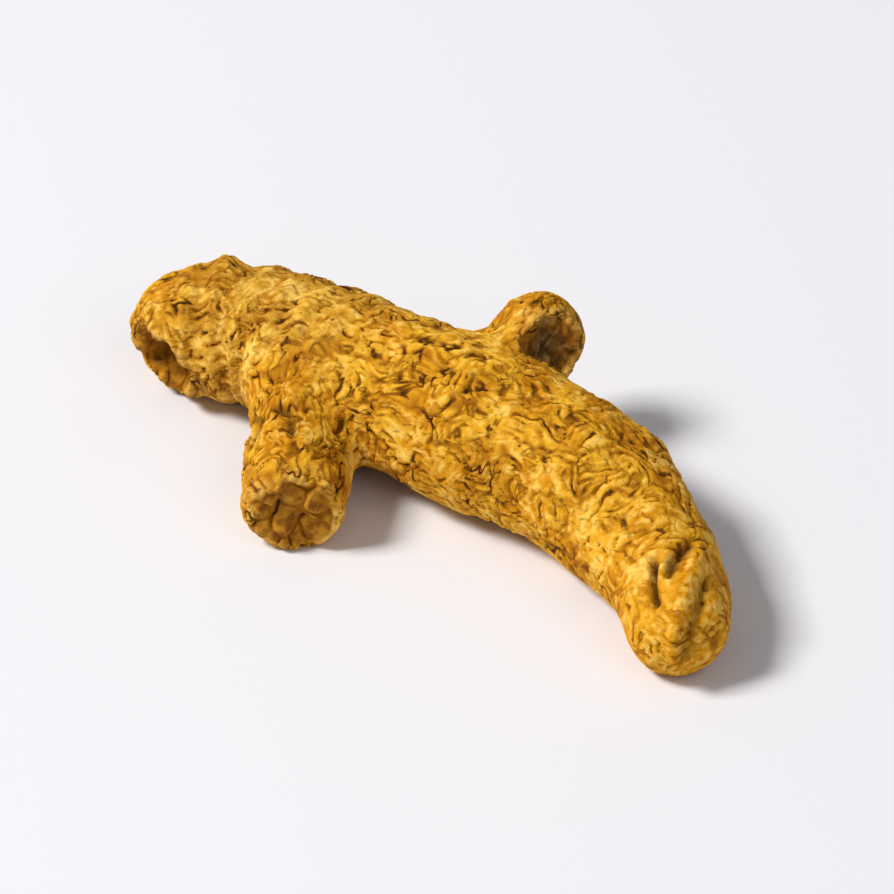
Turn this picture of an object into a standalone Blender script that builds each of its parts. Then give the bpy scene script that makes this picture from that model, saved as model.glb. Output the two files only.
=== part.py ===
"""A cured and dried turmeric finger, lying on its side.

It grew as one piece, so it is one solid: a curved main finger with a broken,
hollowed crown at one end and a blunt growing tip at the other, a snapped side
finger and a short side knob. +X runs from the crown to the tip and +Z is up.
It rests on the floor, z = 0, on a belly pressed slightly flat.
"""

import math

import bpy
import bmesh
import numpy as np
from mathutils import Vector

MM = 0.001

# Each limb is a round tube along a smooth centre line. A station holds the
# place of the centre line and the limb's radius there: x, y, z, radius in mm.
MAIN_FINGER = (
    (-25.3, -1.9, 4.9, 5.3),
    (-20.5, 0.7, 5.5, 5.9),
    (-15.6, 1.6, 5.7, 6.1),
    (-10.5, 1.9, 5.9, 6.3),
    (-5.5, 2.3, 6.2, 6.5),
    (0.8, 2.9, 6.3, 6.7),
    (7.2, 3.5, 6.0, 6.4),
    (11.6, 3.5, 5.7, 6.1),
    (16.8, 2.7, 5.1, 5.6),
    (21.5, 0.9, 4.5, 5.0),
    (24.8, -1.2, 4.1, 4.4),
    (27.1, -3.2, 3.7, 3.9),
)
SIDE_FINGER = (
    (-14.8, 0.8, 6.0, 3.9),
    (-12.2, -2.7, 5.4, 4.2),
    (-9.6, -6.2, 4.7, 4.3),
    (-7.0, -9.4, 4.0, 4.3),
    (-4.9, -12.1, 3.8, 4.1),
)
SIDE_KNOB = (
    (1.2, 3.6, 6.5, 3.2),
    (1.0, 6.2, 8.6, 3.3),
    (0.5, 9.1, 9.7, 3.5),
    (0.1, 11.2, 10.2, 3.5),
)

# How each end closes, as fractions of the limb's radius at that end.
CROWN_BULGE = 0.95
TIP_BULGE = 0.8
KNOB_BULGE = 0.95
ROOTED_BULGE = 0.6
LIP_ROUND = 0.18
SIDE_HOLLOW = 0.15

# A scar is scooped out of a rounded end. It faces a direction, and its rim
# lies a given distance from the centre of the end: facing, rim distance, rim
# radius and depth below the rim, in mm.
CROWN_SCAR = ((-0.18, -0.96, -0.19), 3.1, 4.3, 2.0)
KNOB_SCAR = ((0.85, -0.5, 0.16), 2.7, 2.2, 1.0)

SIDES_AROUND = 40
STEPS_PER_SPAN = 5
END_RINGS = 6
LIP_RINGS = 3
BALL_SUBDIVISIONS = 4

SKIN_GRAIN = 1.0 * MM
FILLET_PASSES = 3
FILLET_STRENGTH = 0.5

SKIN_COLOUR = (0.58, 0.28, 0.035, 1.0)
SKIN_ROUGHNESS = 0.85


def clear_scene():
    """Take away whatever the scene held."""
    for thing in list(bpy.data.objects):
        bpy.data.objects.remove(thing, do_unlink=True)


def skin_material():
    """Matt golden skin, with no metal in it."""
    material = bpy.data.materials.new("dried_skin")
    material.use_nodes = True
    shader = material.node_tree.nodes["Principled BSDF"]
    shader.inputs["Base Color"].default_value = SKIN_COLOUR
    shader.inputs["Roughness"].default_value = SKIN_ROUGHNESS
    shader.inputs["Metallic"].default_value = 0.0
    material.diffuse_color = SKIN_COLOUR
    return material


def smooth_stations(stations):
    """Points of a Catmull-Rom curve through the stations, radius included."""
    knots = np.array(stations) * MM
    first = 2.0 * knots[0] - knots[1]
    last = 2.0 * knots[-1] - knots[-2]
    knots = np.vstack([first, knots, last])
    curve = []
    for span in range(len(knots) - 3):
        a, b, c, d = knots[span:span + 4]
        for t in np.arange(STEPS_PER_SPAN) / STEPS_PER_SPAN:
            bend = 2.0 * a - 5.0 * b + 4.0 * c - d
            twist = 3.0 * b - a - 3.0 * c + d
            curve.append(b + 0.5 * ((c - a) * t + bend * t ** 2 + twist * t ** 3))
    curve.append(knots[-2])
    return np.array(curve)


def dome(bulge):
    """Rings of a rounded end: pairs of radius and reach, over the end's radius."""
    angles = np.linspace(0.0, math.pi / 2.0, END_RINGS + 1)[1:]
    return [(math.cos(a), bulge * math.sin(a)) for a in angles]


def hollow(depth):
    """Rings of a hollowed end: over a rounded lip, then down into a dish."""
    angles = np.linspace(0.0, math.pi / 2.0, LIP_RINGS + 1)[1:]
    rings = [(1.0 - LIP_ROUND * (1.0 - math.cos(a)), LIP_ROUND * math.sin(a)) for a in angles]
    lip = 1.0 - LIP_ROUND
    for inward in np.linspace(0.0, 1.0, END_RINGS + 1)[1:]:
        rings.append((lip * (1.0 - inward), LIP_ROUND - depth * math.sin(inward * math.pi / 2.0)))
    return rings


def end_rings(centre, outward, radius, profile):
    """Places and radii of the rings that close a limb at one end."""
    return [(centre + outward * reach * radius, outward, part * radius) for part, reach in profile]


def limb(name, stations, start_profile, finish_profile):
    """A closed round tube along the stations, with its two ends closed."""
    curve = smooth_stations(stations)
    places = [Vector(row[:3]) for row in curve]
    radii = [float(row[3]) for row in curve]
    ahead = [(b - a).normalized() for a, b in zip(places[:-1], places[1:])]
    ahead.append(ahead[-1])
    start = end_rings(places[0], -ahead[0], radii[0], start_profile)
    finish = end_rings(places[-1], ahead[-1], radii[-1], finish_profile)
    rings = [(place, -outward, radius) for place, outward, radius in reversed(start)]
    rings += list(zip(places, ahead, radii))
    rings += finish
    mesh = bpy.data.meshes.new(name)
    shape = bmesh.new()
    skin_rings(shape, rings)
    bmesh.ops.recalc_face_normals(shape, faces=shape.faces)
    shape.to_mesh(mesh)
    shape.free()
    body = bpy.data.objects.new(name, mesh)
    bpy.context.scene.collection.objects.link(body)
    return body


def skin_rings(shape, rings):
    """Join rings of points with quads, and a point at each end with triangles."""
    first_pole = shape.verts.new(rings[0][0])
    last_pole = shape.verts.new(rings[-1][0])
    loops = []
    side = rings[0][1].orthogonal().normalized()
    for place, ahead, radius in rings[1:-1]:
        side = (side - ahead * side.dot(ahead)).normalized()
        across = ahead.cross(side)
        loop = []
        for step in range(SIDES_AROUND):
            angle = 2.0 * math.pi * step / SIDES_AROUND
            spoke = side * math.cos(angle) + across * math.sin(angle)
            loop.append(shape.verts.new(place + spoke * radius))
        loops.append(loop)
    for step in range(SIDES_AROUND):
        after = (step + 1) % SIDES_AROUND
        shape.faces.new((first_pole, loops[0][after], loops[0][step]))
        shape.faces.new((last_pole, loops[-1][step], loops[-1][after]))
        for near, far in zip(loops[:-1], loops[1:]):
            shape.faces.new((near[step], near[after], far[after], far[step]))


def add_boolean(trunk, helper, operation):
    """Combine the main finger with a hidden helper solid."""
    step = trunk.modifiers.new(operation.lower() + "_" + helper.name, "BOOLEAN")
    step.operation = operation
    step.solver = "EXACT"
    step.object = helper
    helper.hide_render = True
    helper.display_type = "WIRE"


def grow_together(trunk, branch):
    """Union of a side limb with the main finger. The side limb stays hidden."""
    add_boolean(trunk, branch, "UNION")


def scoop(trunk, name, end_centre, scar):
    """Hollow a rounded end where it broke off, with a hidden ball."""
    facing, rim_distance, rim_radius, depth = scar
    outward = Vector(facing).normalized()
    ball_radius = (rim_radius ** 2 + depth ** 2) / (2.0 * depth)
    reach = rim_distance - depth + ball_radius
    mesh = bpy.data.meshes.new(name)
    shape = bmesh.new()
    bmesh.ops.create_icosphere(shape, subdivisions=BALL_SUBDIVISIONS, radius=ball_radius * MM)
    shape.to_mesh(mesh)
    shape.free()
    ball = bpy.data.objects.new(name, mesh)
    ball.location = (Vector(end_centre) + outward * reach) * MM
    bpy.context.scene.collection.objects.link(ball)
    add_boolean(trunk, ball, "DIFFERENCE")
    return ball


def fillet(trunk):
    """One even skin over the union, eased where the limbs meet."""
    skin = trunk.modifiers.new("even_skin", "REMESH")
    skin.mode = "VOXEL"
    skin.voxel_size = SKIN_GRAIN
    ease = trunk.modifiers.new("ease", "SMOOTH")
    ease.factor = FILLET_STRENGTH
    ease.iterations = FILLET_PASSES


def finished_mesh(trunk, name):
    """The mesh that the modifiers give, as plain data of its own."""
    bpy.context.view_layer.update()
    depsgraph = bpy.context.evaluated_depsgraph_get()
    mesh = bpy.data.meshes.new_from_object(trunk.evaluated_get(depsgraph))
    mesh.name = name
    return mesh


def press_flat(mesh):
    """Move what hangs below the floor up onto it, as flat resting places."""
    shape = bmesh.new()
    shape.from_mesh(mesh)
    for vertex in shape.verts:
        vertex.co.z = max(vertex.co.z, 0.0)
    bmesh.ops.triangulate(shape, faces=shape.faces)
    bmesh.ops.recalc_face_normals(shape, faces=shape.faces)
    for face in shape.faces:
        face.smooth = True
    shape.to_mesh(mesh)
    shape.free()


def turmeric_root():
    """The whole root: three limbs grown into one closed body."""
    trunk = limb("main_finger", MAIN_FINGER, dome(CROWN_BULGE), dome(TIP_BULGE))
    side_finger = limb("side_finger", SIDE_FINGER, dome(ROOTED_BULGE), hollow(SIDE_HOLLOW))
    side_knob = limb("side_knob", SIDE_KNOB, dome(ROOTED_BULGE), dome(KNOB_BULGE))
    grow_together(trunk, side_finger)
    grow_together(trunk, side_knob)
    crown_scar = scoop(trunk, "crown_scar", MAIN_FINGER[0][:3], CROWN_SCAR)
    knob_scar = scoop(trunk, "knob_scar", SIDE_KNOB[-1][:3], KNOB_SCAR)
    fillet(trunk)
    mesh = finished_mesh(trunk, "turmeric_root")
    press_flat(mesh)
    for helper in (trunk, side_finger, side_knob, crown_scar, knob_scar):
        bpy.data.objects.remove(helper, do_unlink=True)
    root = bpy.data.objects.new("turmeric_root", mesh)
    mesh.materials.clear()
    mesh.materials.append(skin_material())
    bpy.context.scene.collection.objects.link(root)
    return root


clear_scene()
turmeric_root()
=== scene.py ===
"""A cured and dried turmeric finger: its crinkled golden skin, scars and light.

The skin starts as three round tubes carried along the limbs' centre lines.
They are grown into one even mesh, drawn onto a smooth blend of the limbs, and
then every wrinkle is pushed in or out along the surface's normal.
"""

import math

import bpy
import numpy as np
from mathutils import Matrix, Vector


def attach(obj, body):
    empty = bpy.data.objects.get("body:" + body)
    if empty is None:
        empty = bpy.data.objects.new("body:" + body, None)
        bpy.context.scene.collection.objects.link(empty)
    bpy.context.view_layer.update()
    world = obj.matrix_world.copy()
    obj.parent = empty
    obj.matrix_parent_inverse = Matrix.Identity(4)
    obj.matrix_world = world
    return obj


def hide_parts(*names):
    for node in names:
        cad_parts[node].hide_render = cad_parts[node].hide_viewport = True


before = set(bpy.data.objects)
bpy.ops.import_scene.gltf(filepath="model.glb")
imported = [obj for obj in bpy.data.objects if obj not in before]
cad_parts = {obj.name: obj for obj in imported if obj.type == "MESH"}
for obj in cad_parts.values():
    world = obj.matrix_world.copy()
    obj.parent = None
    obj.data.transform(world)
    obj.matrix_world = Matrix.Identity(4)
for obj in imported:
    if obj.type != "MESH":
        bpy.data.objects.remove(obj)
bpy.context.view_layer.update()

MM = 0.001

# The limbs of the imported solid: x, y, z and radius along each centre line, mm.
MAIN_FINGER = (
    (-25.3, -1.9, 4.9, 5.3),
    (-20.5, 0.7, 5.5, 5.9),
    (-15.6, 1.6, 5.7, 6.1),
    (-10.5, 1.9, 5.9, 6.3),
    (-5.5, 2.3, 6.2, 6.5),
    (0.8, 2.9, 6.3, 6.7),
    (7.2, 3.5, 6.0, 6.4),
    (11.6, 3.5, 5.7, 6.1),
    (16.8, 2.7, 5.1, 5.6),
    (21.5, 0.9, 4.5, 5.0),
    (24.8, -1.2, 4.1, 4.4),
    (27.1, -3.2, 3.7, 3.9),
)
SIDE_FINGER = (
    (-14.8, 0.8, 6.0, 3.9),
    (-12.2, -2.7, 5.4, 4.2),
    (-9.6, -6.2, 4.7, 4.3),
    (-7.0, -9.4, 4.0, 4.3),
    (-4.9, -12.1, 3.8, 4.1),
)
SIDE_KNOB = (
    (1.2, 3.6, 6.5, 3.2),
    (1.0, 6.2, 8.6, 3.3),
    (0.5, 9.1, 9.7, 3.5),
    (0.1, 11.2, 10.2, 3.5),
)

# The order of the limbs in every list of them.
MAIN, SIDE, KNOB = 0, 1, 2

# Scars where a neighbour broke off. Each is scooped out of the end of one limb
# by a ball. The rim's distance is from a place in the middle of that end, the
# depth is below the rim, and the softness rounds the rim, all in mm. The
# darkness of its middle, partly the scar's own brown and partly painted shade
# in its hollow, goes from 0 to 1; it also deepens the pit.
SCARS = {
    "crown": {
        "limb": MAIN,
        "end": (-24.6, -1.3, 5.0),
        "facing": (-0.18, -0.96, -0.19),
        "rim_distance": 3.8,
        "rim_radius": 2.9,
        "depth": 1.7,
        "softness": 0.9,
        "darkness": 1.0,
    },
    "side": {
        "limb": SIDE,
        "end": SIDE_FINGER[-1][:3],
        "facing": (0.61, -0.78, -0.05),
        "rim_distance": 1.1,
        "rim_radius": 3.0,
        "depth": 0.3,
        "softness": 1.2,
        "darkness": 0.3,
    },
    "knob": {
        "limb": KNOB,
        "end": SIDE_KNOB[-1][:3],
        "facing": (0.85, -0.5, 0.16),
        "rim_distance": 2.65,
        "rim_radius": 2.3,
        "depth": 0.6,
        "softness": 1.0,
        "darkness": 0.9,
    },
}

# How each limb closes at its start and finish, over its radius there.
MAIN_BULGES = (0.95, 0.8)
SIDE_BULGES = (0.6, 0.35)
KNOB_BULGES = (0.6, 0.95)

# Lengths in mm: the spacing of a centre line's points, the reach of the fillets
# where the side finger and the knob leave the main finger, and the mesh's grain.
PATH_STEP = 0.25
SIDE_FILLET = 2.6
KNOB_FILLET = 1.8
SKIN_GRAIN = 0.2

# Curve samples between two stations, and how many of a centre line's points
# each ring of its tube stands for.
SAMPLES_PER_SPAN = 40
POINTS_PER_RING = 4

# The steps that draw the mesh onto the root: how many, the longest, in mm, and
# the flattest slope that is trusted.
SETTLING_STEPS = 7
LONGEST_MOVE = 0.8
FLATTEST_SLOPE = 0.2


# ---------------------------------------------------------------- limbs

def unit(vectors):
    """Each row divided by its own length."""
    return vectors / np.linalg.norm(vectors, axis=-1, keepdims=True)


def smooth_path(stations):
    """Catmull-Rom curve through the stations at an even spacing. From station
    b to c it is b + t(c-a)/2 + t^2(2a-5b+4c-d)/2 + t^3(3b-a-3c+d)/2."""
    knots = np.array(stations)
    knots = np.vstack([2 * knots[0] - knots[1], knots, 2 * knots[-1] - knots[-2]])
    spans = len(knots) - 3
    a, b, c, d = (knots[k:k + spans, None, :] for k in range(4))
    t = np.linspace(0.0, 1.0, SAMPLES_PER_SPAN, endpoint=False)[None, :, None]
    bend = 2 * a - 5 * b + 4 * c - d
    twist = 3 * b - a - 3 * c + d
    curve = b + 0.5 * ((c - a) * t + bend * t ** 2 + twist * t ** 3)
    curve = np.vstack([curve.reshape(-1, 4), knots[-2]])
    steps = np.linalg.norm(np.diff(curve[:, :3], axis=0), axis=1)
    run = np.concatenate([[0.0], np.cumsum(steps)])
    marks = np.linspace(0.0, run[-1], int(run[-1] / PATH_STEP) + 1)
    return marks, np.stack([np.interp(marks, run, curve[:, k]) for k in range(4)], axis=1)


def limb(stations, bulges):
    """A limb's centre line with its frame: ahead along it, side level, rise up."""
    marks, path = smooth_path(stations)
    ahead = unit(np.gradient(path[:, :3], marks, axis=0))
    side = unit(np.cross(ahead, (0.0, 0.0, 1.0)))
    return {
        "marks": marks,
        "centre": path[:, :3],
        "radius": path[:, 3],
        "ahead": ahead,
        "side": side,
        "rise": np.cross(side, ahead),
        "bulge": bulges,
    }


def tube_grid(part, around=48, cap=8):
    """Closed round tube: centre(u) + radius(u) * (side cos v + rise sin v). The
    first and last rows run over domes: radius cos a, reach bulge sin a."""
    turn = np.linspace(0.0, 0.5 * math.pi, cap + 1)[1:]
    rows = []
    for end, sign in ((0, -1.0), (-1, 1.0)):
        reach = part["bulge"][end] * part["radius"][end] * np.sin(turn)
        centre = part["centre"][end] + sign * part["ahead"][end] * reach[:, None]
        rows.append((centre, part["radius"][end] * np.cos(turn)))
    body = slice(None, None, POINTS_PER_RING)
    inner = part["centre"][body]
    centre = np.vstack([rows[0][0][::-1], inner, rows[1][0]])
    radius = np.concatenate([rows[0][1][::-1], part["radius"][body], rows[1][1]])
    frames = []
    for key in ("side", "rise"):
        first = np.repeat(part[key][:1], cap, axis=0)
        last = np.repeat(part[key][-1:], cap, axis=0)
        frames.append(np.vstack([first, part[key][body], last]))
    v = np.linspace(0.0, 2.0 * math.pi, around, endpoint=False)[None, :, None]
    spoke = frames[0][:, None, :] * np.cos(v) + frames[1][:, None, :] * np.sin(v)
    points = centre[:, None, :] + spoke * radius[:, None, None]
    rings = len(points)
    corner = np.arange(rings * around).reshape(rings, around)
    after = np.roll(corner, -1, axis=1)
    quads = np.stack([corner[:-1], after[:-1], after[1:], corner[1:]], axis=-1).reshape(-1, 4)
    return points.reshape(-1, 3), quads


def read_limb(part, points):
    """Where points lie against a limb: distance to its surface, that distance's
    slope, and the point straightened out: along, side and rise, in mm. The
    distance is |s| - r, for a spoke s from the nearest place on the centre line
    and the radius r there. Past an end, the spoke's part ahead is divided by that
    end's bulge."""
    centre = part["centre"]
    nearness = (centre ** 2).sum(1) - 2.0 * points @ centre.T
    near = np.argmin(nearness, axis=1)
    ahead = part["ahead"][near]
    run = part["marks"][near] + ((points - centre[near]) * ahead).sum(1)
    held = np.clip(run, 0.0, part["marks"][-1])
    foot = centre[near] + ahead * (held - part["marks"][near])[:, None]
    spoke = points - foot
    radius = np.interp(held, part["marks"], part["radius"])
    past = run - held
    bulge = np.where(past < 0.0, part["bulge"][0], part["bulge"][1])
    stretched = spoke + ahead * (past * (1.0 / bulge - 1.0))[:, None]
    length = np.linalg.norm(stretched, axis=1)
    slope = stretched / length[:, None]
    slope += ahead * ((slope * ahead).sum(1) * (1.0 / bulge - 1.0) * (past != 0.0))[:, None]
    across = (spoke * part["side"][near]).sum(1)
    rise = (spoke * part["rise"][near]).sum(1)
    return length - radius, slope, np.stack([run, across, rise], axis=1)


# ---------------------------------------------------------------- the blend of limbs

def blend(a, b, reach):
    """Smooth minimum of two distances: min(a, b) - h^2 reach / 4, where h falls
    from 1 where they are equal to 0 where they differ by reach."""
    h = np.clip(1.0 - np.abs(a[0] - b[0]) / reach, 0.0, 1.0)
    nearer = a[0] < b[0]
    share = np.where(nearer, 1.0 - 0.5 * h, 0.5 * h)[:, None]
    value = np.minimum(a[0], b[0]) - h ** 2 * reach / 4.0
    return value, share * a[1] + (1.0 - share) * b[1]


def scar_frame(scar):
    """The middle of a scar's rim, the way out of it and two ways across it."""
    outward = unit(np.array(scar["facing"]))
    level = unit(np.cross(outward, (0.0, 0.0, 1.0)))
    rim = np.array(scar["end"]) + outward * scar["rim_distance"]
    return rim, outward, level, np.cross(level, outward)


def ball_spokes(scar, points):
    """Radius R of the scar's ball, and spokes from its middle to points. The ball
    has the rim's radius r at the rim and a depth d below it: R = (r^2 + d^2) / 2d."""
    rim, outward, _, _ = scar_frame(scar)
    depth = scar["depth"]
    radius = (scar["rim_radius"] ** 2 + depth ** 2) / (2.0 * depth)
    return radius, points - rim - outward * (radius - depth)


def scooped(shape, points, scar):
    """Take the scar's ball out of a limb: the smooth maximum of the limb's
    distance and the ball's outside, with the ball's outline made uneven."""
    radius, spoke = ball_spokes(scar, warp(points, size=2.6, amount=0.45, seed=101))
    length = np.linalg.norm(spoke, axis=1)
    outside = (length - radius, spoke / length[:, None])
    value, slope = blend((-shape[0], -shape[1]), outside, scar["softness"])
    return -value, -slope


def sunk_into(points, scar):
    """Points inside a scar's ball, let down straight onto the ball's far side:
    by b + sqrt(R^2 - s^2 + b^2), for a spoke s whose part along the way out is b."""
    _, outward, _, _ = scar_frame(scar)
    radius, spoke = ball_spokes(scar, points)
    out = spoke @ outward
    room = radius ** 2 - (spoke ** 2).sum(1)
    fall = np.where(room > 0.0, out + np.sqrt(np.maximum(room, 0.0) + out ** 2), 0.0)
    return points - outward * fall[:, None]


def root_distance(limbs, points):
    """Distance to the whole root and its slope: limbs scooped, then blended."""
    readings = [read_limb(part, points) for part in limbs]
    shapes = [reading[:2] for reading in readings]
    for scar in SCARS.values():
        shapes[scar["limb"]] = scooped(shapes[scar["limb"]], points, scar)
    whole = blend(shapes[MAIN], shapes[SIDE], SIDE_FILLET)
    return blend(whole, shapes[KNOB], KNOB_FILLET), readings


def settle_on_root(limbs, points):
    """Newton's steps onto the surface where the distance is nought: against the
    slope g by f / g.g, after the crown's points are let down into its hollow."""
    points = sunk_into(points, SCARS["crown"])
    for _ in range(SETTLING_STEPS):
        (value, slope), _ = root_distance(limbs, points)
        size = (slope ** 2).sum(1)
        move = np.clip(value / np.maximum(size, FLATTEST_SLOPE), -LONGEST_MOVE, LONGEST_MOVE)
        points = points - slope * move[:, None]
    (_, slope), readings = root_distance(limbs, points)
    return points, unit(slope), readings


# ---------------------------------------------------------------- noise

RNG = np.random.default_rng(7)
BOX_KINDS = 256
LAST_KIND = BOX_KINDS - 1
GRADIENTS = unit(RNG.normal(size=(BOX_KINDS, 3)))
SHUFFLE = RNG.permutation(BOX_KINDS)
SEED_PLACES = RNG.random(size=(BOX_KINDS, 3))
SEED_LEVELS = RNG.random(BOX_KINDS)
NEIGHBOURS = np.array(np.meshgrid((-1, 0, 1), (-1, 0, 1), (-1, 0, 1))).reshape(3, -1).T

# How far each seed number shifts a pattern, the gain that brings the noise to
# about -1 to 1, and how far off a border is taken to be before one is found.
NOISE_SHIFT = 17.31
PILLOW_SHIFT = 23.7
NOISE_GAIN = 1.6
FAR_OFF = 2.0

# How creased a border between two pillows is goes from 0 to 1 as the sum of the
# two seeds' levels, wrapped at 1, goes from the first of these to the second,
# both less the share of creased borders that is wanted. A faint border counts
# as further off than it is, by up to the last value.
CREASED_LEVELS = (0.85, 1.15)
FAINT_BORDER = 0.45


def box_number(cell):
    """A shuffled number from 0 to 255 for each box of the grid."""
    number = SHUFFLE[cell[:, 0] & LAST_KIND]
    number = SHUFFLE[(number + cell[:, 1]) & LAST_KIND]
    return SHUFFLE[(number + cell[:, 2]) & LAST_KIND]


def noise(points, seed=0):
    """Gradient noise from about -1 to 1, one lump per unit of the points: the
    eight corners' pulls g.(p - c), shared out by smooth weights."""
    points = points + NOISE_SHIFT * seed
    cell = np.floor(points).astype(int)
    part = points - cell
    ease = part ** 3 * (part * (part * 6.0 - 15.0) + 10.0)
    value = np.zeros(len(points))
    for corner in range(8):
        step = np.array([corner & 1, corner >> 1 & 1, corner >> 2 & 1])
        pull = (GRADIENTS[box_number(cell + step)] * (part - step)).sum(1)
        value += pull * np.where(step == 1, ease, 1.0 - ease).prod(axis=1)
    return NOISE_GAIN * value


def warp(points, size, amount, seed):
    """Points pushed about by noise of one size, so that a pattern on them wanders."""
    push = np.stack([noise(points / size, seed + k) for k in range(3)], axis=1)
    return points + amount * push


def ramp(value, low, high):
    """Smooth step from 0 at low to 1 at high: t^2 (3 - 2t)."""
    t = np.clip((value - low) / (high - low), 0.0, 1.0)
    return t * t * (3.0 - 2.0 * t)


def bell(distance, width):
    """1 at no distance, falling off on both sides: exp(-(d / w)^2)."""
    return np.exp(-(distance / width) ** 2)


def mound(points, place, width):
    """1 at a place, falling off round about: exp(-|p - place|^2 / w^2)."""
    return np.exp(-((points - place) ** 2).sum(1) / width ** 2)


def cell_seeds(cell):
    """The seed in each grid box: its place, and a level from 0 to 1 of its own."""
    number = box_number(cell)
    return cell + SEED_PLACES[number], SEED_LEVELS[number]


def home_seeds(points, cell):
    """The seed nearest to each point: its place and its level."""
    nearest = np.full(len(points), np.inf)
    home = np.zeros((len(points), 3))
    level = np.zeros(len(points))
    for step in NEIGHBOURS:
        place, its_level = cell_seeds(cell + step)
        away = ((place - points) ** 2).sum(1)
        closer = away < nearest
        nearest = np.where(closer, away, nearest)
        home = np.where(closer[:, None], place, home)
        level = np.where(closer, its_level, level)
    return home, level


def border_distance(points, home, place, stretch):
    """Distance in mm to the border half way from a point's own seed to another:
    ((home + place) / 2 - p).w / |w / stretch|, for the unit way w between them."""
    tiny = 1e-6
    way = place - home
    length = np.linalg.norm(way, axis=1)
    other = length > tiny
    way /= np.where(other, length, 1.0)[:, None]
    ahead = ((0.5 * (place + home) - points) * way).sum(1)
    away = ahead / np.linalg.norm(way / stretch, axis=1).clip(tiny)
    return np.where(other, away, FAR_OFF)


def pillows(points, stretch, seed, share):
    """Long pillows with creases between them: the cells round scattered seeds of
    the stretched points, parted half way between neighbouring seeds. A share of
    the borders is creased, the others are faint. Gives the distance to the
    nearest crease, and for the borders where the pillow's sign changes the
    signed distance and how firm that crease is."""
    points = points / stretch + PILLOW_SHIFT * seed
    cell = np.floor(points).astype(int)
    home, level = home_seeds(points, cell)
    hollow = np.full(len(points), FAR_OFF)
    signed = np.full(len(points), FAR_OFF)
    firm = np.zeros(len(points))
    low, high = CREASED_LEVELS
    for step in NEIGHBOURS:
        place, its_level = cell_seeds(cell + step)
        away = border_distance(points, home, place, stretch)
        creased = ramp((level + its_level) % 1.0, low - share, high - share)
        hollow = np.minimum(hollow, away + FAINT_BORDER * (1.0 - creased))
        closer = (away < signed) & ((level > 0.5) != (its_level > 0.5))
        signed = np.where(closer, away, signed)
        firm = np.where(closer, creased, firm)
    return hollow, np.where(level > 0.5, signed, -signed), firm


def puff(distance, width):
    """A ridge's height between its valleys, steep beside a valley and round on
    top: (d / w)^0.7, and 1 past the width."""
    return np.clip(np.abs(distance) / width, 0.0, 1.0) ** 0.7


# ---------------------------------------------------------------- skin relief

# Unevenness of the whole root: the size and height of its lumps, in mm, and
# the noise's seed.
UNEVENNESS = ((8.0, 0.34, 1), (3.4, 0.20, 2), (1.4, 0.10, 6))

# The root's own larger lumps and dents: where, how high and how wide, in mm.
LUMPS = (
    ((-24.9, 1.2, 10.0), 0.95, 2.0),
    ((-21.9, 2.6, 10.6), -0.40, 1.3),
    ((-30.0, -3.0, 4.4), 0.70, 1.7),
    ((15.3, 8.0, 8.7), 0.55, 2.0),
    ((21.0, 6.2, 6.6), -0.25, 1.8),
    ((-12.9, -4.6, 9.0), -0.35, 1.2),
)

# Folds and slits that stand out: the limb, then the line on it, as run in mm
# and turn from the top in degrees, then the line's half width and height in
# mm, and how dark the painted shade along it is.
FOLDS = (
    (MAIN, ((52.2, 22.0), (54.0, 28.0), (55.6, 29.0)), 0.33, -0.95, 1.0),
    (MAIN, ((52.6, 13.0), (54.2, 18.0), (55.8, 19.0)), 0.50, 0.25, 0.0),
    (MAIN, ((50.8, -20.0), (51.6, -12.0), (52.4, 1.0), (53.4, 8.0)), 0.38, -0.75, 0.8),
    (MAIN, ((52.0, -24.0), (53.4, -13.0), (56.4, 2.0), (58.2, 24.0)), 0.85, 0.70, 0.0),
    (MAIN, ((54.2, -30.0), (56.4, -20.0), (58.6, 0.0)), 0.45, -0.45, 0.4),
    (MAIN, ((46.4, 31.0), (48.4, 32.0)), 0.16, -0.25, 0.9),
    (MAIN, ((27.8, 14.0), (28.1, 27.0)), 0.18, -0.25, 1.0),
    (MAIN, ((5.0, 30.0), (5.2, -20.0)), 0.55, -0.30, 0.2),
    (SIDE, ((6.6, 52.0), (8.0, 44.0), (10.2, 38.0)), 0.32, -0.60, 0.9),
    (SIDE, ((8.4, 33.0), (9.6, 25.0), (12.0, 22.0)), 0.28, -0.50, 0.7),
    (SIDE, ((9.0, 12.0), (10.2, 4.0), (12.4, 2.0)), 0.32, -0.60, 0.8),
    (SIDE, ((9.2, -30.0), (10.6, -24.0), (13.0, -26.0)), 0.30, -0.45, 0.5),
)
# How far the folds' lines wobble, in mm, and the width of their painted shade over a fold's half width.
FOLD_WOBBLE = 0.22
DARK_WIDTH = 1.05

# A rougher patch of bark: where it is and how wide, in mm.
BARK_PATCH = ((6.9, -2.4, 8.2), 2.4)

# How far apart the limbs' patterns are read, and how far a limb's share reaches
# into the next limb, in mm.
LIMB_SHIFT = 40.0
SHARE_REACH = 0.2

# Runs along a limb, in mm, over which something comes on or goes.
TIP_RUN = (43.0, 55.0)
RINGS_START = (-3.0, 1.5)
RINGS_FINISH = (11.0, 22.0)
LENGTHWISE_FINISH = (8.0, 11.0)

# Sizes of the crinkles' pillows along a limb, round it and out of it, in mm.
LONG_PILLOWS = np.array([1.9, 0.66, 0.66])
CROSS_PILLOWS = np.array([0.66, 1.7, 1.7])
FINE_PILLOWS = np.array([1.3, 0.52, 0.52])
SCAR_PILLOWS = np.array([1.5, 1.7, 2.1])

# Shares of the pillows' borders that are creased: on calm skin, what rough skin
# adds, in the fine wrinkles and in the scars.
CALM_SHARE = 0.22
ROUGH_SHARE = 0.68
FINE_SHARE = 0.32
SCAR_SHARE = 0.75

# Heights in mm: the rings, the pillows on calm skin and what rough skin adds,
# the crease lines, the fine wrinkles, and the grain of rough skin.
RING_HEIGHT = 0.40
PILLOW_HEIGHT = 0.12
ROUGH_HEIGHT = 0.07
CREASE_DEPTH = 0.10
FINE_DEPTH = 0.05
GRAIN_HEIGHT = 0.05

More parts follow.
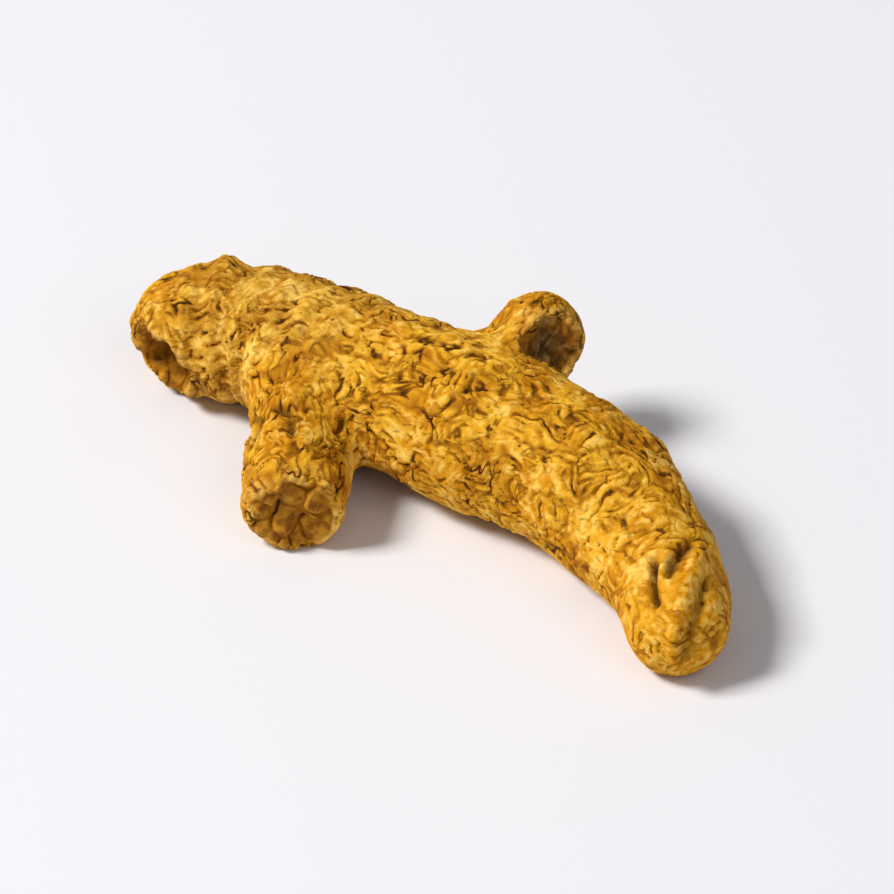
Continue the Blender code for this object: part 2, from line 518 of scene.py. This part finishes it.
# Widths in mm: the rounded sides of a pillow and of a scar's pucker, a crease
# line and a fine wrinkle.
PILLOW_SIDE = 0.36
PUCKER_SIDE = 0.7
CREASE_WIDTH = 0.15
FINE_WIDTH = 0.14

# How much the tip takes away from the skin's roughness, from the crinkles'
# height, and from the firmness of their creases and of the fine wrinkles.
TIP_LESS_ROUGH = 0.7
TIP_LESS_HEIGHT = 0.45
TIP_LESS_CREASED = 0.5
TIP_LESS_FINE = 0.6

# Heights in mm inside a scar: its puckers, its lumps, its pit and its lip. The
# last value is how much of the skin's own relief a scar takes away.
PUCKER_HEIGHT = 0.60
SCAR_LUMP_HEIGHT = 0.45
PIT_DEPTH = 0.30
LIP_HEIGHT = 0.32
SCAR_COVER = 0.85

# Places across a scar, over its rim's radius, which the rim's softness widens
# by a part of itself: where its inside ends, where that ends where the surface
# faces inward, its lip and the lip's width, its pit's width, and where its
# heart ends, the dark middle that is partly painted shade.
SOFT_PART = 0.35
INSIDE_END = (0.82, 1.04)
INWARD_END = (1.15, 1.4)
LIP_PLACE = 1.06
LIP_WIDTH = 0.15
PIT_WIDTH = 0.35
HEART_END = (0.35, 0.80)

# Heights in mm along the way out of a scar: over which it fades, above its rim
# and below its deepest place, how high its lip is and where its heart begins,
# which darkens the hollow deeper down as painted shade.
SCAR_FADE = (0.8, 1.6)
LIP_RISE = 1.4
HEART_SINK = (0.0, 0.7)


def crinkle(flat, lengthwise, rough):
    """Crinkles of one limb in its straightened space: pillows along it or across
    it, by patches, with hair-thin wrinkles over them. Gives the distance to the
    nearest crease, a signed one with its firmness, and the same for the wrinkles."""
    wandering = warp(warp(flat, size=3.0, amount=1.1, seed=11), size=1.0, amount=0.26, seed=14)
    share = CALM_SHARE + ROUGH_SHARE * rough
    along = pillows(wandering, LONG_PILLOWS, 21, share)
    across = pillows(wandering, CROSS_PILLOWS, 31, share)
    turned = noise(flat / 3.2, 71) - 0.6 * lengthwise > 0.05
    _, fine, fine_firm = pillows(warp(flat, size=1.2, amount=0.45, seed=51), FINE_PILLOWS, 61, FINE_SHARE)
    return [np.where(turned, a, b) for a, b in zip(across, along)] + [fine, fine_firm]


def all_crinkles(readings, shares, rough):
    """Crinkles of every limb, each point read on the limb that it belongs to most.
    The side limbs have lengthwise crinkles down to near their ends."""
    parts = [np.zeros(len(rough)) for _ in range(5)]
    mine = shares.argmax(1)
    for k, (_, _, flat) in enumerate(readings):
        here = mine == k
        lengthwise = 0.0 if k == MAIN else 1.0 - ramp(flat[here, 0], *LENGTHWISE_FINISH)
        for whole, part in zip(parts, crinkle(flat[here] + LIMB_SHIFT * k, lengthwise, rough[here])):
            whole[here] = part
    return parts


def limb_shares(readings):
    """How far each point belongs to each limb: exp(-(distance - least distance) /
    reach), made to add up to 1."""
    distances = np.stack([reading[0] for reading in readings], axis=1)
    shares = np.exp(-(distances - distances.min(1, keepdims=True)) / SHARE_REACH)
    return shares / shares.sum(1, keepdims=True)


def ring_relief(points, run, share):
    """Rings of old leaf scales near the crown: (1 + cos(2 pi run / spacing)) / 2,
    with the run made wavy, and how near the crown each point is."""
    spacing = 2.9
    wavy = run + 0.6 * noise(points / 5.0, 3) + 0.25 * noise(points / 1.6, 5)
    band = 0.5 + 0.5 * np.cos(2.0 * math.pi * wavy / spacing)
    near_crown = ramp(run, *RINGS_START) * (1.0 - ramp(run, *RINGS_FINISH)) * share
    return band, near_crown


def line_distance(run, arc, marks):
    """Distance from places on an unrolled limb to a bent line of marks: the least
    |p - a - t (b - a)| over its stretches from a to b, with t held from 0 to 1."""
    marks = np.array(marks)
    starts, steps = marks[:-1], np.diff(marks, axis=0)
    place = np.stack([run, arc], axis=1)[:, None, :] - starts
    share = np.clip((place * steps).sum(2) / (steps ** 2).sum(1), 0.0, 1.0)
    return np.linalg.norm(place - share[:, :, None] * steps, axis=2).min(1)


def fold_relief(readings, shares, points):
    """Height of the folds that stand out, and darkness of the painted shade in
    their grooves. Each is a bell across its line, and the line wobbles a little.
    A turn becomes a place round the limb by its radius near that mark."""
    height = np.zeros(len(points))
    fold_shade = np.zeros(len(points))
    wobble = FOLD_WOBBLE * noise(points / 1.1, 151)
    for k, marks, half_width, rise, darkness in FOLDS:
        run, across, up = readings[k][2].T
        radius = np.hypot(across, up)
        arc = np.arctan2(across, up) * radius
        unrolled = []
        for mark, turn in marks:
            near_mark = np.abs(run - mark) < 1.0
            unrolled.append((mark, math.radians(turn) * np.median(radius[near_mark])))
        away = line_distance(run, arc, unrolled) + wobble
        height += rise * (bell(away, half_width) * shares[:, k])
        fold_shade = np.maximum(fold_shade, darkness * bell(away, DARK_WIDTH * half_width) * shares[:, k])
    return height, fold_shade


def scar_relief(points, normals, scar):
    """Wrinkles of a dried scar: puckers between wandering creases, lumps, a pit in
    the middle and a raised, notched lip. Gives how far each point is inside, the
    height, the creases, the lip, and the heart: its dark middle, partly its own
    brown and partly painted shade deeper in the hollow. A point is inside by its
    place across the rim, or where its normal looks inward."""
    depth = scar["depth"]
    rim, outward, level, steep = scar_frame(scar)
    offset = warp(points, size=1.6, amount=0.45, seed=111) - rim
    high = offset @ outward
    out = np.hypot(offset @ level, offset @ steep) / (scar["rim_radius"] + SOFT_PART * scar["softness"])
    fade, gone = SCAR_FADE
    near = ramp(high, -depth - gone, -depth - fade) * (1.0 - ramp(high, fade, gone))
    faces_in = ramp(-(normals * unit(points - rim)).sum(1), 0.0, 0.4)
    inward = faces_in * (1.0 - ramp(out, *INWARD_END))
    inside = np.maximum(1.0 - ramp(out, *INSIDE_END), inward) * near
    creases = pillows(offset, SCAR_PILLOWS, 121, SCAR_SHARE)
    lip = bell(out - LIP_PLACE, LIP_WIDTH) * bell(high, LIP_RISE)
    lip *= 0.55 + 0.9 * np.clip(noise(offset / 1.5, 141), -0.5, 0.5)
    puckers = puff(creases[0], PUCKER_SIDE) - 0.5
    height = PUCKER_HEIGHT * puckers + SCAR_LUMP_HEIGHT * noise(offset / 1.9, 145)
    height -= PIT_DEPTH * scar["darkness"] * bell(out, PIT_WIDTH)
    middle = np.maximum(1.0 - ramp(out, *HEART_END), ramp(-high, *HEART_SINK))
    return inside, height, creases, lip, scar["darkness"] * inside * middle


def crinkle_relief(points, creases, rough, tip):
    """Height of the crinkles, calmer towards the tip: puffed pillows, crease lines
    and fine wrinkles, each a bell across its line, and the grain of rough skin."""
    hollow, fold, firm, fine, fine_firm = creases
    calm = 1.0 - TIP_LESS_HEIGHT * tip
    return (
        (PILLOW_HEIGHT + ROUGH_HEIGHT * rough) * calm * (puff(hollow, PILLOW_SIDE) - 0.8),
        -CREASE_DEPTH * firm * calm * bell(fold, CREASE_WIDTH),
        -FINE_DEPTH * fine_firm * calm * bell(fine, FINE_WIDTH),
        GRAIN_HEIGHT * rough * noise(warp(points, size=0.9, amount=0.3, seed=41) / 0.55, 44),
    )


def skin_relief(points, normals, readings):
    """Height of the skin over the smooth root, in mm, and the values that colour it."""
    shares = limb_shares(readings)
    run = readings[MAIN][2][:, 0]
    band, near_crown = ring_relief(points, run, shares[:, MAIN])
    tip = ramp(run, *TIP_RUN) * shares[:, MAIN]
    patch = mound(points, *BARK_PATCH)
    rough = ramp(noise(points / 3.4, 4) + 0.35 * patch, -0.30, 0.30) * (1.0 - TIP_LESS_ROUGH * tip)
    creases = all_crinkles(readings, shares, rough)

    relief = sum(height * noise(points / size, seed) for size, height, seed in UNEVENNESS)
    for place, rise, width in LUMPS:
        relief += rise * mound(points, place, width)
    relief += RING_HEIGHT * near_crown * (band - 0.5)
    for layer in crinkle_relief(points, creases, rough, tip):
        relief += layer
    stand_out, fold_shade = fold_relief(readings, shares, points)

    hollow, fold, firm, fine, fine_firm = creases
    scarred, lips, scar_hearts_and_shade = np.zeros((3, len(points)))
    for scar in SCARS.values():
        inside, scar_height, parts, lip, scar_heart_and_shade = scar_relief(points, normals, scar)
        relief = relief * (1.0 - SCAR_COVER * inside) + inside * scar_height + LIP_HEIGHT * lip
        hollow, fold, firm = (np.where(inside > 0.5, b, a) for a, b in zip((hollow, fold, firm), parts))
        scarred = np.maximum(scarred, inside)
        scar_hearts_and_shade = np.maximum(scar_hearts_and_shade, scar_heart_and_shade)
        lips = np.maximum(lips, lip)
    values = {
        "hollow": np.clip(hollow, 0.0, 1.0),
        "fold": np.clip(fold, -1.0, 1.0),
        "firm": firm * (1.0 - TIP_LESS_CREASED * tip),
        "ring": near_crown * (1.0 - band),
        "fine": np.clip(fine, -1.0, 1.0),
        "fine_firm": fine_firm * (1.0 - scarred) * (1.0 - TIP_LESS_FINE * tip),
        "fold_shade": fold_shade,
        "scar": scarred,
        "scar_heart_and_shade": scar_hearts_and_shade,
        "ash": scar_hearts_and_shade * shares[:, KNOB],
        "lip": np.clip(lips, 0.0, 1.0),
        "tip": tip,
        "crown": near_crown,
        "patch": patch,
    }
    return relief + stand_out, values


def rest_on_floor(points):
    """Ease what would sink below the floor up onto it, keeping faint wrinkles:
    s ln(1 + exp(z / s)) for a height z and a softness s in mm."""
    soft = 0.10
    z = points[:, 2]
    points[:, 2] = soft * np.logaddexp(0.0, z / soft)
    return points


# ---------------------------------------------------------------- the piece

def mesh_from(name, points, faces):
    """A mesh of quads, with whole arrays handed over at once."""
    mesh = bpy.data.meshes.new(name)
    mesh.vertices.add(len(points))
    mesh.vertices.foreach_set("co", np.ascontiguousarray(points, dtype=np.float32).ravel())
    mesh.loops.add(faces.size)
    mesh.loops.foreach_set("vertex_index", faces.ravel().astype(np.int32))
    mesh.polygons.add(len(faces))
    mesh.polygons.foreach_set("loop_start", np.arange(0, faces.size, 4, dtype=np.int32))
    mesh.update(calc_edges=True)
    mesh.validate()
    return mesh


def even_mesh(limbs):
    """One even closed skin round all three tubes, read back as arrays."""
    points, faces, total = [], [], 0
    for part in limbs:
        grid, quads = tube_grid(part)
        points.append(grid)
        faces.append(quads + total)
        total += len(grid)
    mesh = mesh_from("limb_tubes", np.vstack(points) * MM, np.vstack(faces))
    tubes = bpy.data.objects.new("limb_tubes", mesh)
    bpy.context.scene.collection.objects.link(tubes)
    remesh = tubes.modifiers.new("even", "REMESH")
    remesh.mode = "VOXEL"
    remesh.voxel_size = SKIN_GRAIN * MM
    depsgraph = bpy.context.evaluated_depsgraph_get()
    even = bpy.data.meshes.new_from_object(tubes.evaluated_get(depsgraph))
    coords = np.empty(len(even.vertices) * 3, dtype=np.float32)
    even.vertices.foreach_get("co", coords)
    corners = np.empty(len(even.loops), dtype=np.int32)
    even.loops.foreach_get("vertex_index", corners)
    bpy.data.objects.remove(tubes, do_unlink=True)
    return coords.reshape(-1, 3).astype(float) / MM, corners.reshape(-1, 4)


def turmeric_skin():
    """The whole root's skin as one closed piece."""
    limbs = (
        limb(MAIN_FINGER, MAIN_BULGES),
        limb(SIDE_FINGER, SIDE_BULGES),
        limb(SIDE_KNOB, KNOB_BULGES),
    )
    points, faces = even_mesh(limbs)
    points, normals, readings = settle_on_root(limbs, points)
    height, values = skin_relief(points, normals, readings)
    points = rest_on_floor(points + normals * height[:, None])
    mesh = mesh_from("turmeric_skin", points * MM, faces)
    mesh.polygons.foreach_set("use_smooth", np.ones(len(mesh.polygons), dtype=bool))
    for name, value in values.items():
        layer = mesh.attributes.new(name, "FLOAT", "POINT")
        layer.data.foreach_set("value", value.astype(np.float32))
    piece = bpy.data.objects.new("turmeric_skin", mesh)
    bpy.context.scene.collection.objects.link(piece)
    return piece


# ---------------------------------------------------------------- finish

# The skin's dull sheen, and the strength and depth, in mm, of its finest relief.
SKIN_ROUGHNESS = 0.75
SKIN_SPECULAR = 0.07
BUMP_STRENGTH = 0.9
BUMP_DEPTH = 0.12

GOLD = (0.64, 0.270, 0.006, 1.0)
BRIGHT_GOLD = (0.81, 0.415, 0.020, 1.0)
# Pale for the ridges, partly dust and partly painted highlight, and for pale specks.
DUST_AND_RIDGE_HIGHLIGHT = (0.95, 0.625, 0.135, 1.0)
OLIVE_DUST = (0.62, 0.345, 0.040, 1.0)
TIP_ORANGE = (0.74, 0.315, 0.006, 1.0)
# Brown for real stains and specks, and for painted shade low between the ridges.
STAIN_AND_SHADE_BROWN = (0.36, 0.125, 0.003, 1.0)
# Painted shade along the creases and in the scars' hearts.
CREASE_SHADE_BROWN = (0.15, 0.046, 0.001, 1.0)
# Painted shade, nearly black, in the slits and deepest creases.
SLIT_SHADE_BROWN = (0.045, 0.014, 0.002, 1.0)
SCAR_BROWN = (0.26, 0.095, 0.008, 1.0)
SCAR_TAN = (0.58, 0.265, 0.022, 1.0)
ASH_BROWN = (0.12, 0.060, 0.018, 1.0)
ASH_TAN = (0.42, 0.26, 0.090, 1.0)
# Painted highlight, pale straw, on the scars' raised lips.
PAINTED_LIP_HIGHLIGHT = (0.82, 0.50, 0.110, 1.0)


class Finish:
    """A material under construction, with short ways to add its nodes."""

    def __init__(self, name, roughness, specular):
        self.material = bpy.data.materials.new(name)
        self.material.use_nodes = True
        self.nodes = self.material.node_tree.nodes
        self.links = self.material.node_tree.links
        self.shader = self.nodes["Principled BSDF"]
        self.shader.inputs["Roughness"].default_value = roughness
        self.shader.inputs["Specular IOR Level"].default_value = specular
        self.place = self.nodes.new("ShaderNodeTexCoord").outputs["Object"]

    def feed(self, socket, value):
        """Link a socket to another, or set it to a plain value."""
        if isinstance(value, bpy.types.NodeSocket):
            self.links.new(value, socket)
        else:
            socket.default_value = value

    def mix(self, amount, below, above):
        """Colour going from one to the other."""
        node = self.nodes.new("ShaderNodeMix")
        node.data_type = "RGBA"
        for index, value in ((0, amount), (6, below), (7, above)):
            self.feed(node.inputs[index], value)
        return node.outputs[2]

    def math(self, operation, first, second=0.0):
        """One sum on numbers."""
        node = self.nodes.new("ShaderNodeMath")
        node.operation = operation
        self.feed(node.inputs[0], first)
        self.feed(node.inputs[1], second)
        return node.outputs[0]

    def spread(self, value, low, high, start=0.0, end=1.0):
        """Smooth step from one value at low to another at high."""
        node = self.nodes.new("ShaderNodeMapRange")
        node.interpolation_type = "SMOOTHSTEP"
        for index, number in enumerate((value, low, high, start, end)):
            self.feed(node.inputs[index], number)
        return node.outputs["Result"]

    def mask(self, name):
        """A named value of the mesh."""
        node = self.nodes.new("ShaderNodeAttribute")
        node.attribute_name = name
        return node.outputs["Fac"]

    def cloud(self, size, detail=2.0):
        """Noise whose lumps are about a size across, in mm."""
        node = self.nodes.new("ShaderNodeTexNoise")
        node.inputs["Scale"].default_value = 1.0 / (size * MM)
        node.inputs["Detail"].default_value = detail
        self.links.new(self.place, node.inputs["Vector"])
        return node.outputs["Fac"]

    def line(self, distance, firmness, inner, outer):
        """As firm as a valley line is on it, 0 past the outer distance, in mm."""
        near = self.spread(self.math("ABSOLUTE", distance), inner, outer, 1.0, 0.0)
        return self.math("MULTIPLY", near, firmness)

    def laid(self, colour, over, amount, part=1.0):
        """A colour with part of an amount of another colour laid over it."""
        if part != 1.0:
            amount = self.math("MULTIPLY", amount, part)
        return self.mix(amount, colour, over)


def golden_ground(skin):
    """Gold in two tones, olive by the crown and orange at the tip, with brown stains
    in clouds and on the rough patch, and brown in the grooves between the rings."""
    tones = skin.spread(skin.cloud(4.0, 3.0), 0.38, 0.62)
    colour = skin.mix(tones, GOLD, BRIGHT_GOLD)
    colour = skin.laid(colour, OLIVE_DUST, skin.mask("crown"), 0.6)
    colour = skin.laid(colour, TIP_ORANGE, skin.mask("tip"), 0.6)
    stains_and_grooves = skin.spread(skin.cloud(2.6, 4.0), 0.55, 0.70, 0.0, 0.38)
    # Brown on the rough patch, and brown in the low grooves between the rings.
    for name, part in (("patch", 0.55), ("ring", 0.45)):
        stains_and_grooves = skin.math("MAXIMUM", stains_and_grooves, skin.math("MULTIPLY", skin.mask(name), part))
    return skin.laid(colour, STAIN_AND_SHADE_BROWN, stains_and_grooves)


def with_dust_and_ridge_highlight(skin, colour, hollow, speckle):
    """Pale on the ridges, partly dust and partly painted highlight, then pale and brown specks."""
    ridge = skin.spread(hollow, 0.18, 0.50, 0.0, 0.75)
    dust = skin.spread(skin.cloud(1.0, 3.0), 0.36, 0.62)
    # Pale on the ridge tops in clouds: partly dust, partly painted highlight.
    colour = skin.laid(colour, DUST_AND_RIDGE_HIGHLIGHT, skin.math("MULTIPLY", ridge, dust))
    colour = skin.laid(colour, DUST_AND_RIDGE_HIGHLIGHT, skin.spread(speckle, 0.52, 0.68, 0.0, 0.40))
    return skin.laid(colour, STAIN_AND_SHADE_BROWN, skin.spread(speckle, 0.48, 0.34, 0.0, 0.25))


def with_scars(skin, colour):
    """A painted highlight of pale straw on the lips of the scars, and brown and tan
    inside them, darker in their hearts, partly as painted shade, and ashy in the knob's."""
    # Painted highlight: pale straw on the scars' raised lips.
    colour = skin.laid(colour, PAINTED_LIP_HIGHLIGHT, skin.mask("lip"))
    tones = skin.spread(skin.cloud(0.9, 3.0), 0.38, 0.66)
    scar = skin.mix(tones, SCAR_BROWN, SCAR_TAN)
    # Darker in the hearts: partly the scar's own brown, partly painted shade in the hollow.
    scar = skin.laid(scar, CREASE_SHADE_BROWN, skin.mask("scar_heart_and_shade"), 0.75)
    scar = skin.laid(scar, skin.mix(tones, ASH_BROWN, ASH_TAN), skin.mask("ash"))
    return skin.laid(colour, scar, skin.spread(skin.mask("scar"), 0.0, 1.0))


def with_crease_shade(skin, colour, hollow, fine_line, fold_line):
    """Painted shade: brown low between the ridges, dark brown along the lines, in
    broken stretches, and nearly black in the deepest stretches and the slits."""
    # Painted shade: brown low between the ridges, in patches.
    low = skin.spread(hollow, 0.0, 0.30, 1.0, 0.0)
    patches = skin.spread(skin.cloud(1.8), 0.38, 0.58, 0.30, 0.95)
    colour = skin.laid(colour, STAIN_AND_SHADE_BROWN, skin.math("MULTIPLY", low, patches))
    # Painted shade: dark brown along the crease lines in broken stretches, nearly black in the deepest.
    deep = skin.cloud(1.5)
    stretches = (
        (fine_line, skin.spread(skin.cloud(1.2), 0.40, 0.60, 0.15, 0.65), CREASE_SHADE_BROWN),
        (fold_line, skin.spread(deep, 0.38, 0.56, 0.2, 0.95), CREASE_SHADE_BROWN),
        (fold_line, skin.spread(deep, 0.54, 0.62, 0.0, 0.9), SLIT_SHADE_BROWN),
    )
    for line, stretch, brown in stretches:
        colour = skin.laid(colour, brown, skin.math("MULTIPLY", line, stretch))
    # Painted shade, nearly black, in the folds' slits.
    return skin.laid(colour, SLIT_SHADE_BROWN, skin.mask("fold_shade"))


def roughened(skin, speckle, worn):
    """The finest relief: raised specks, less the wear along the lines."""
    grain = skin.math("MULTIPLY", speckle, 1.3)
    bump = skin.nodes.new("ShaderNodeBump")
    bump.inputs["Strength"].default_value = BUMP_STRENGTH
    bump.inputs["Distance"].default_value = BUMP_DEPTH * MM
    skin.links.new(skin.math("SUBTRACT", grain, skin.math("MULTIPLY", worn, 0.6)), bump.inputs["Height"])
    return bump.outputs["Normal"]


def dried_skin():
    """Matt golden skin: pale on the ridges, partly dust and partly painted highlight,
    painted shade in brown in the creases and nearly black in the slits, olive by
    the crown, orange at the tip, brown scars."""
    skin = Finish("dried_skin", SKIN_ROUGHNESS, SKIN_SPECULAR)
    hollow = skin.mask("hollow")
    speckle = skin.cloud(0.45, 4.0)
    fold_line = skin.line(skin.mask("fold"), skin.mask("firm"), inner=0.03, outer=0.15)
    fine_line = skin.line(skin.mask("fine"), skin.mask("fine_firm"), inner=0.0, outer=0.12)
    colour = with_dust_and_ridge_highlight(skin, golden_ground(skin), hollow, speckle)
    colour = with_scars(skin, colour)
    colour = with_crease_shade(skin, colour, hollow, fine_line, fold_line)
    skin.links.new(colour, skin.shader.inputs["Base Color"])
    normal = roughened(skin, speckle, skin.math("MAXIMUM", fold_line, fine_line))
    skin.links.new(normal, skin.shader.inputs["Normal"])
    return skin.material


# ---------------------------------------------------------------- studio

# Half the floor's side and its drop below the root, in metres.
FLOOR_HALF = 3.0
FLOOR_DROP = 0.02 * MM
FLOOR_COLOUR = (0.80, 0.80, 0.84, 1.0)
FLOOR_ROUGHNESS = 0.9

# The place that the camera and the lamps look at, and the camera's way and
# distance from it: metres and degrees, with its lens and film in mm.
LOOKED_AT = (0.0, 0.0005, 0.005)
VIEW_AZIMUTH = 42.0
VIEW_ELEVATION = 38.0
VIEW_DISTANCE = 0.5
LENS = 255.0
FILM_WIDTH = 36.0
NEAREST_SEEN = 0.01

# Square lamps, all at one distance: turn from the camera and height in degrees,
# size in metres, power in watts and colour.
LAMP_DISTANCE = 1.3
LAMPS = {
    "key": (-82.0, 50.0, 0.36, 18.0, (1.0, 0.98, 0.95)),
    "fill": (40.0, 45.0, 0.8, 2.2, (1.0, 1.0, 1.0)),
}
SKY_COLOUR = (0.95, 0.96, 1.0, 1.0)
SKY_STRENGTH = 0.25


def studio_floor():
    """A wide pale floor, just under the root."""
    half, low = FLOOR_HALF, -FLOOR_DROP
    corners = [(-half, -half, low), (half, -half, low), (half, half, low), (-half, half, low)]
    mesh = bpy.data.meshes.new("floor")
    mesh.from_pydata(corners, [], [(0, 1, 2, 3)])
    material = bpy.data.materials.new("pale_floor")
    material.use_nodes = True
    shader = material.node_tree.nodes["Principled BSDF"]
    shader.inputs["Base Color"].default_value = FLOOR_COLOUR
    shader.inputs["Roughness"].default_value = FLOOR_ROUGHNESS
    mesh.materials.append(material)
    floor = bpy.data.objects.new("floor", mesh)
    bpy.context.scene.collection.objects.link(floor)


def stand(name, data, azimuth, elevation, distance):
    """A lamp or camera at these angles and distance, turned to the root. Its way
    out is (sin a cos e, -cos a cos e, sin e)."""
    a, e = math.radians(azimuth), math.radians(elevation)
    out = np.array([math.sin(a) * math.cos(e), -math.cos(a) * math.cos(e), math.sin(e)])
    place = np.array(LOOKED_AT) + out * distance
    thing = bpy.data.objects.new(name, data)
    thing.location = Vector(place)
    thing.rotation_euler = (Vector(LOOKED_AT) - Vector(place)).to_track_quat("-Z", "Y").to_euler()
    bpy.context.scene.collection.objects.link(thing)
    return thing


def studio():
    """Floor, soft light from the viewer's left, and the camera."""
    studio_floor()
    for name, (turn, height, size, power, colour) in LAMPS.items():
        lamp = bpy.data.lights.new(name, "AREA")
        lamp.size = size
        lamp.energy = power
        lamp.color = colour
        stand(name, lamp, VIEW_AZIMUTH + turn, height, LAMP_DISTANCE)
    world = bpy.data.worlds.new("studio")
    world.use_nodes = True
    sky = world.node_tree.nodes["Background"]
    sky.inputs["Color"].default_value = SKY_COLOUR
    sky.inputs["Strength"].default_value = SKY_STRENGTH
    lens = bpy.data.cameras.new("camera")
    lens.lens = LENS
    lens.sensor_width = FILM_WIDTH
    lens.clip_start = NEAREST_SEEN
    scene = bpy.context.scene
    scene.world = world
    scene.view_settings.view_transform = "Standard"
    scene.camera = stand("camera", lens, VIEW_AZIMUTH, VIEW_ELEVATION, VIEW_DISTANCE)


skin = turmeric_skin()
skin.data.materials.append(dried_skin())
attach(skin, "root")
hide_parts("turmeric_root")
studio()
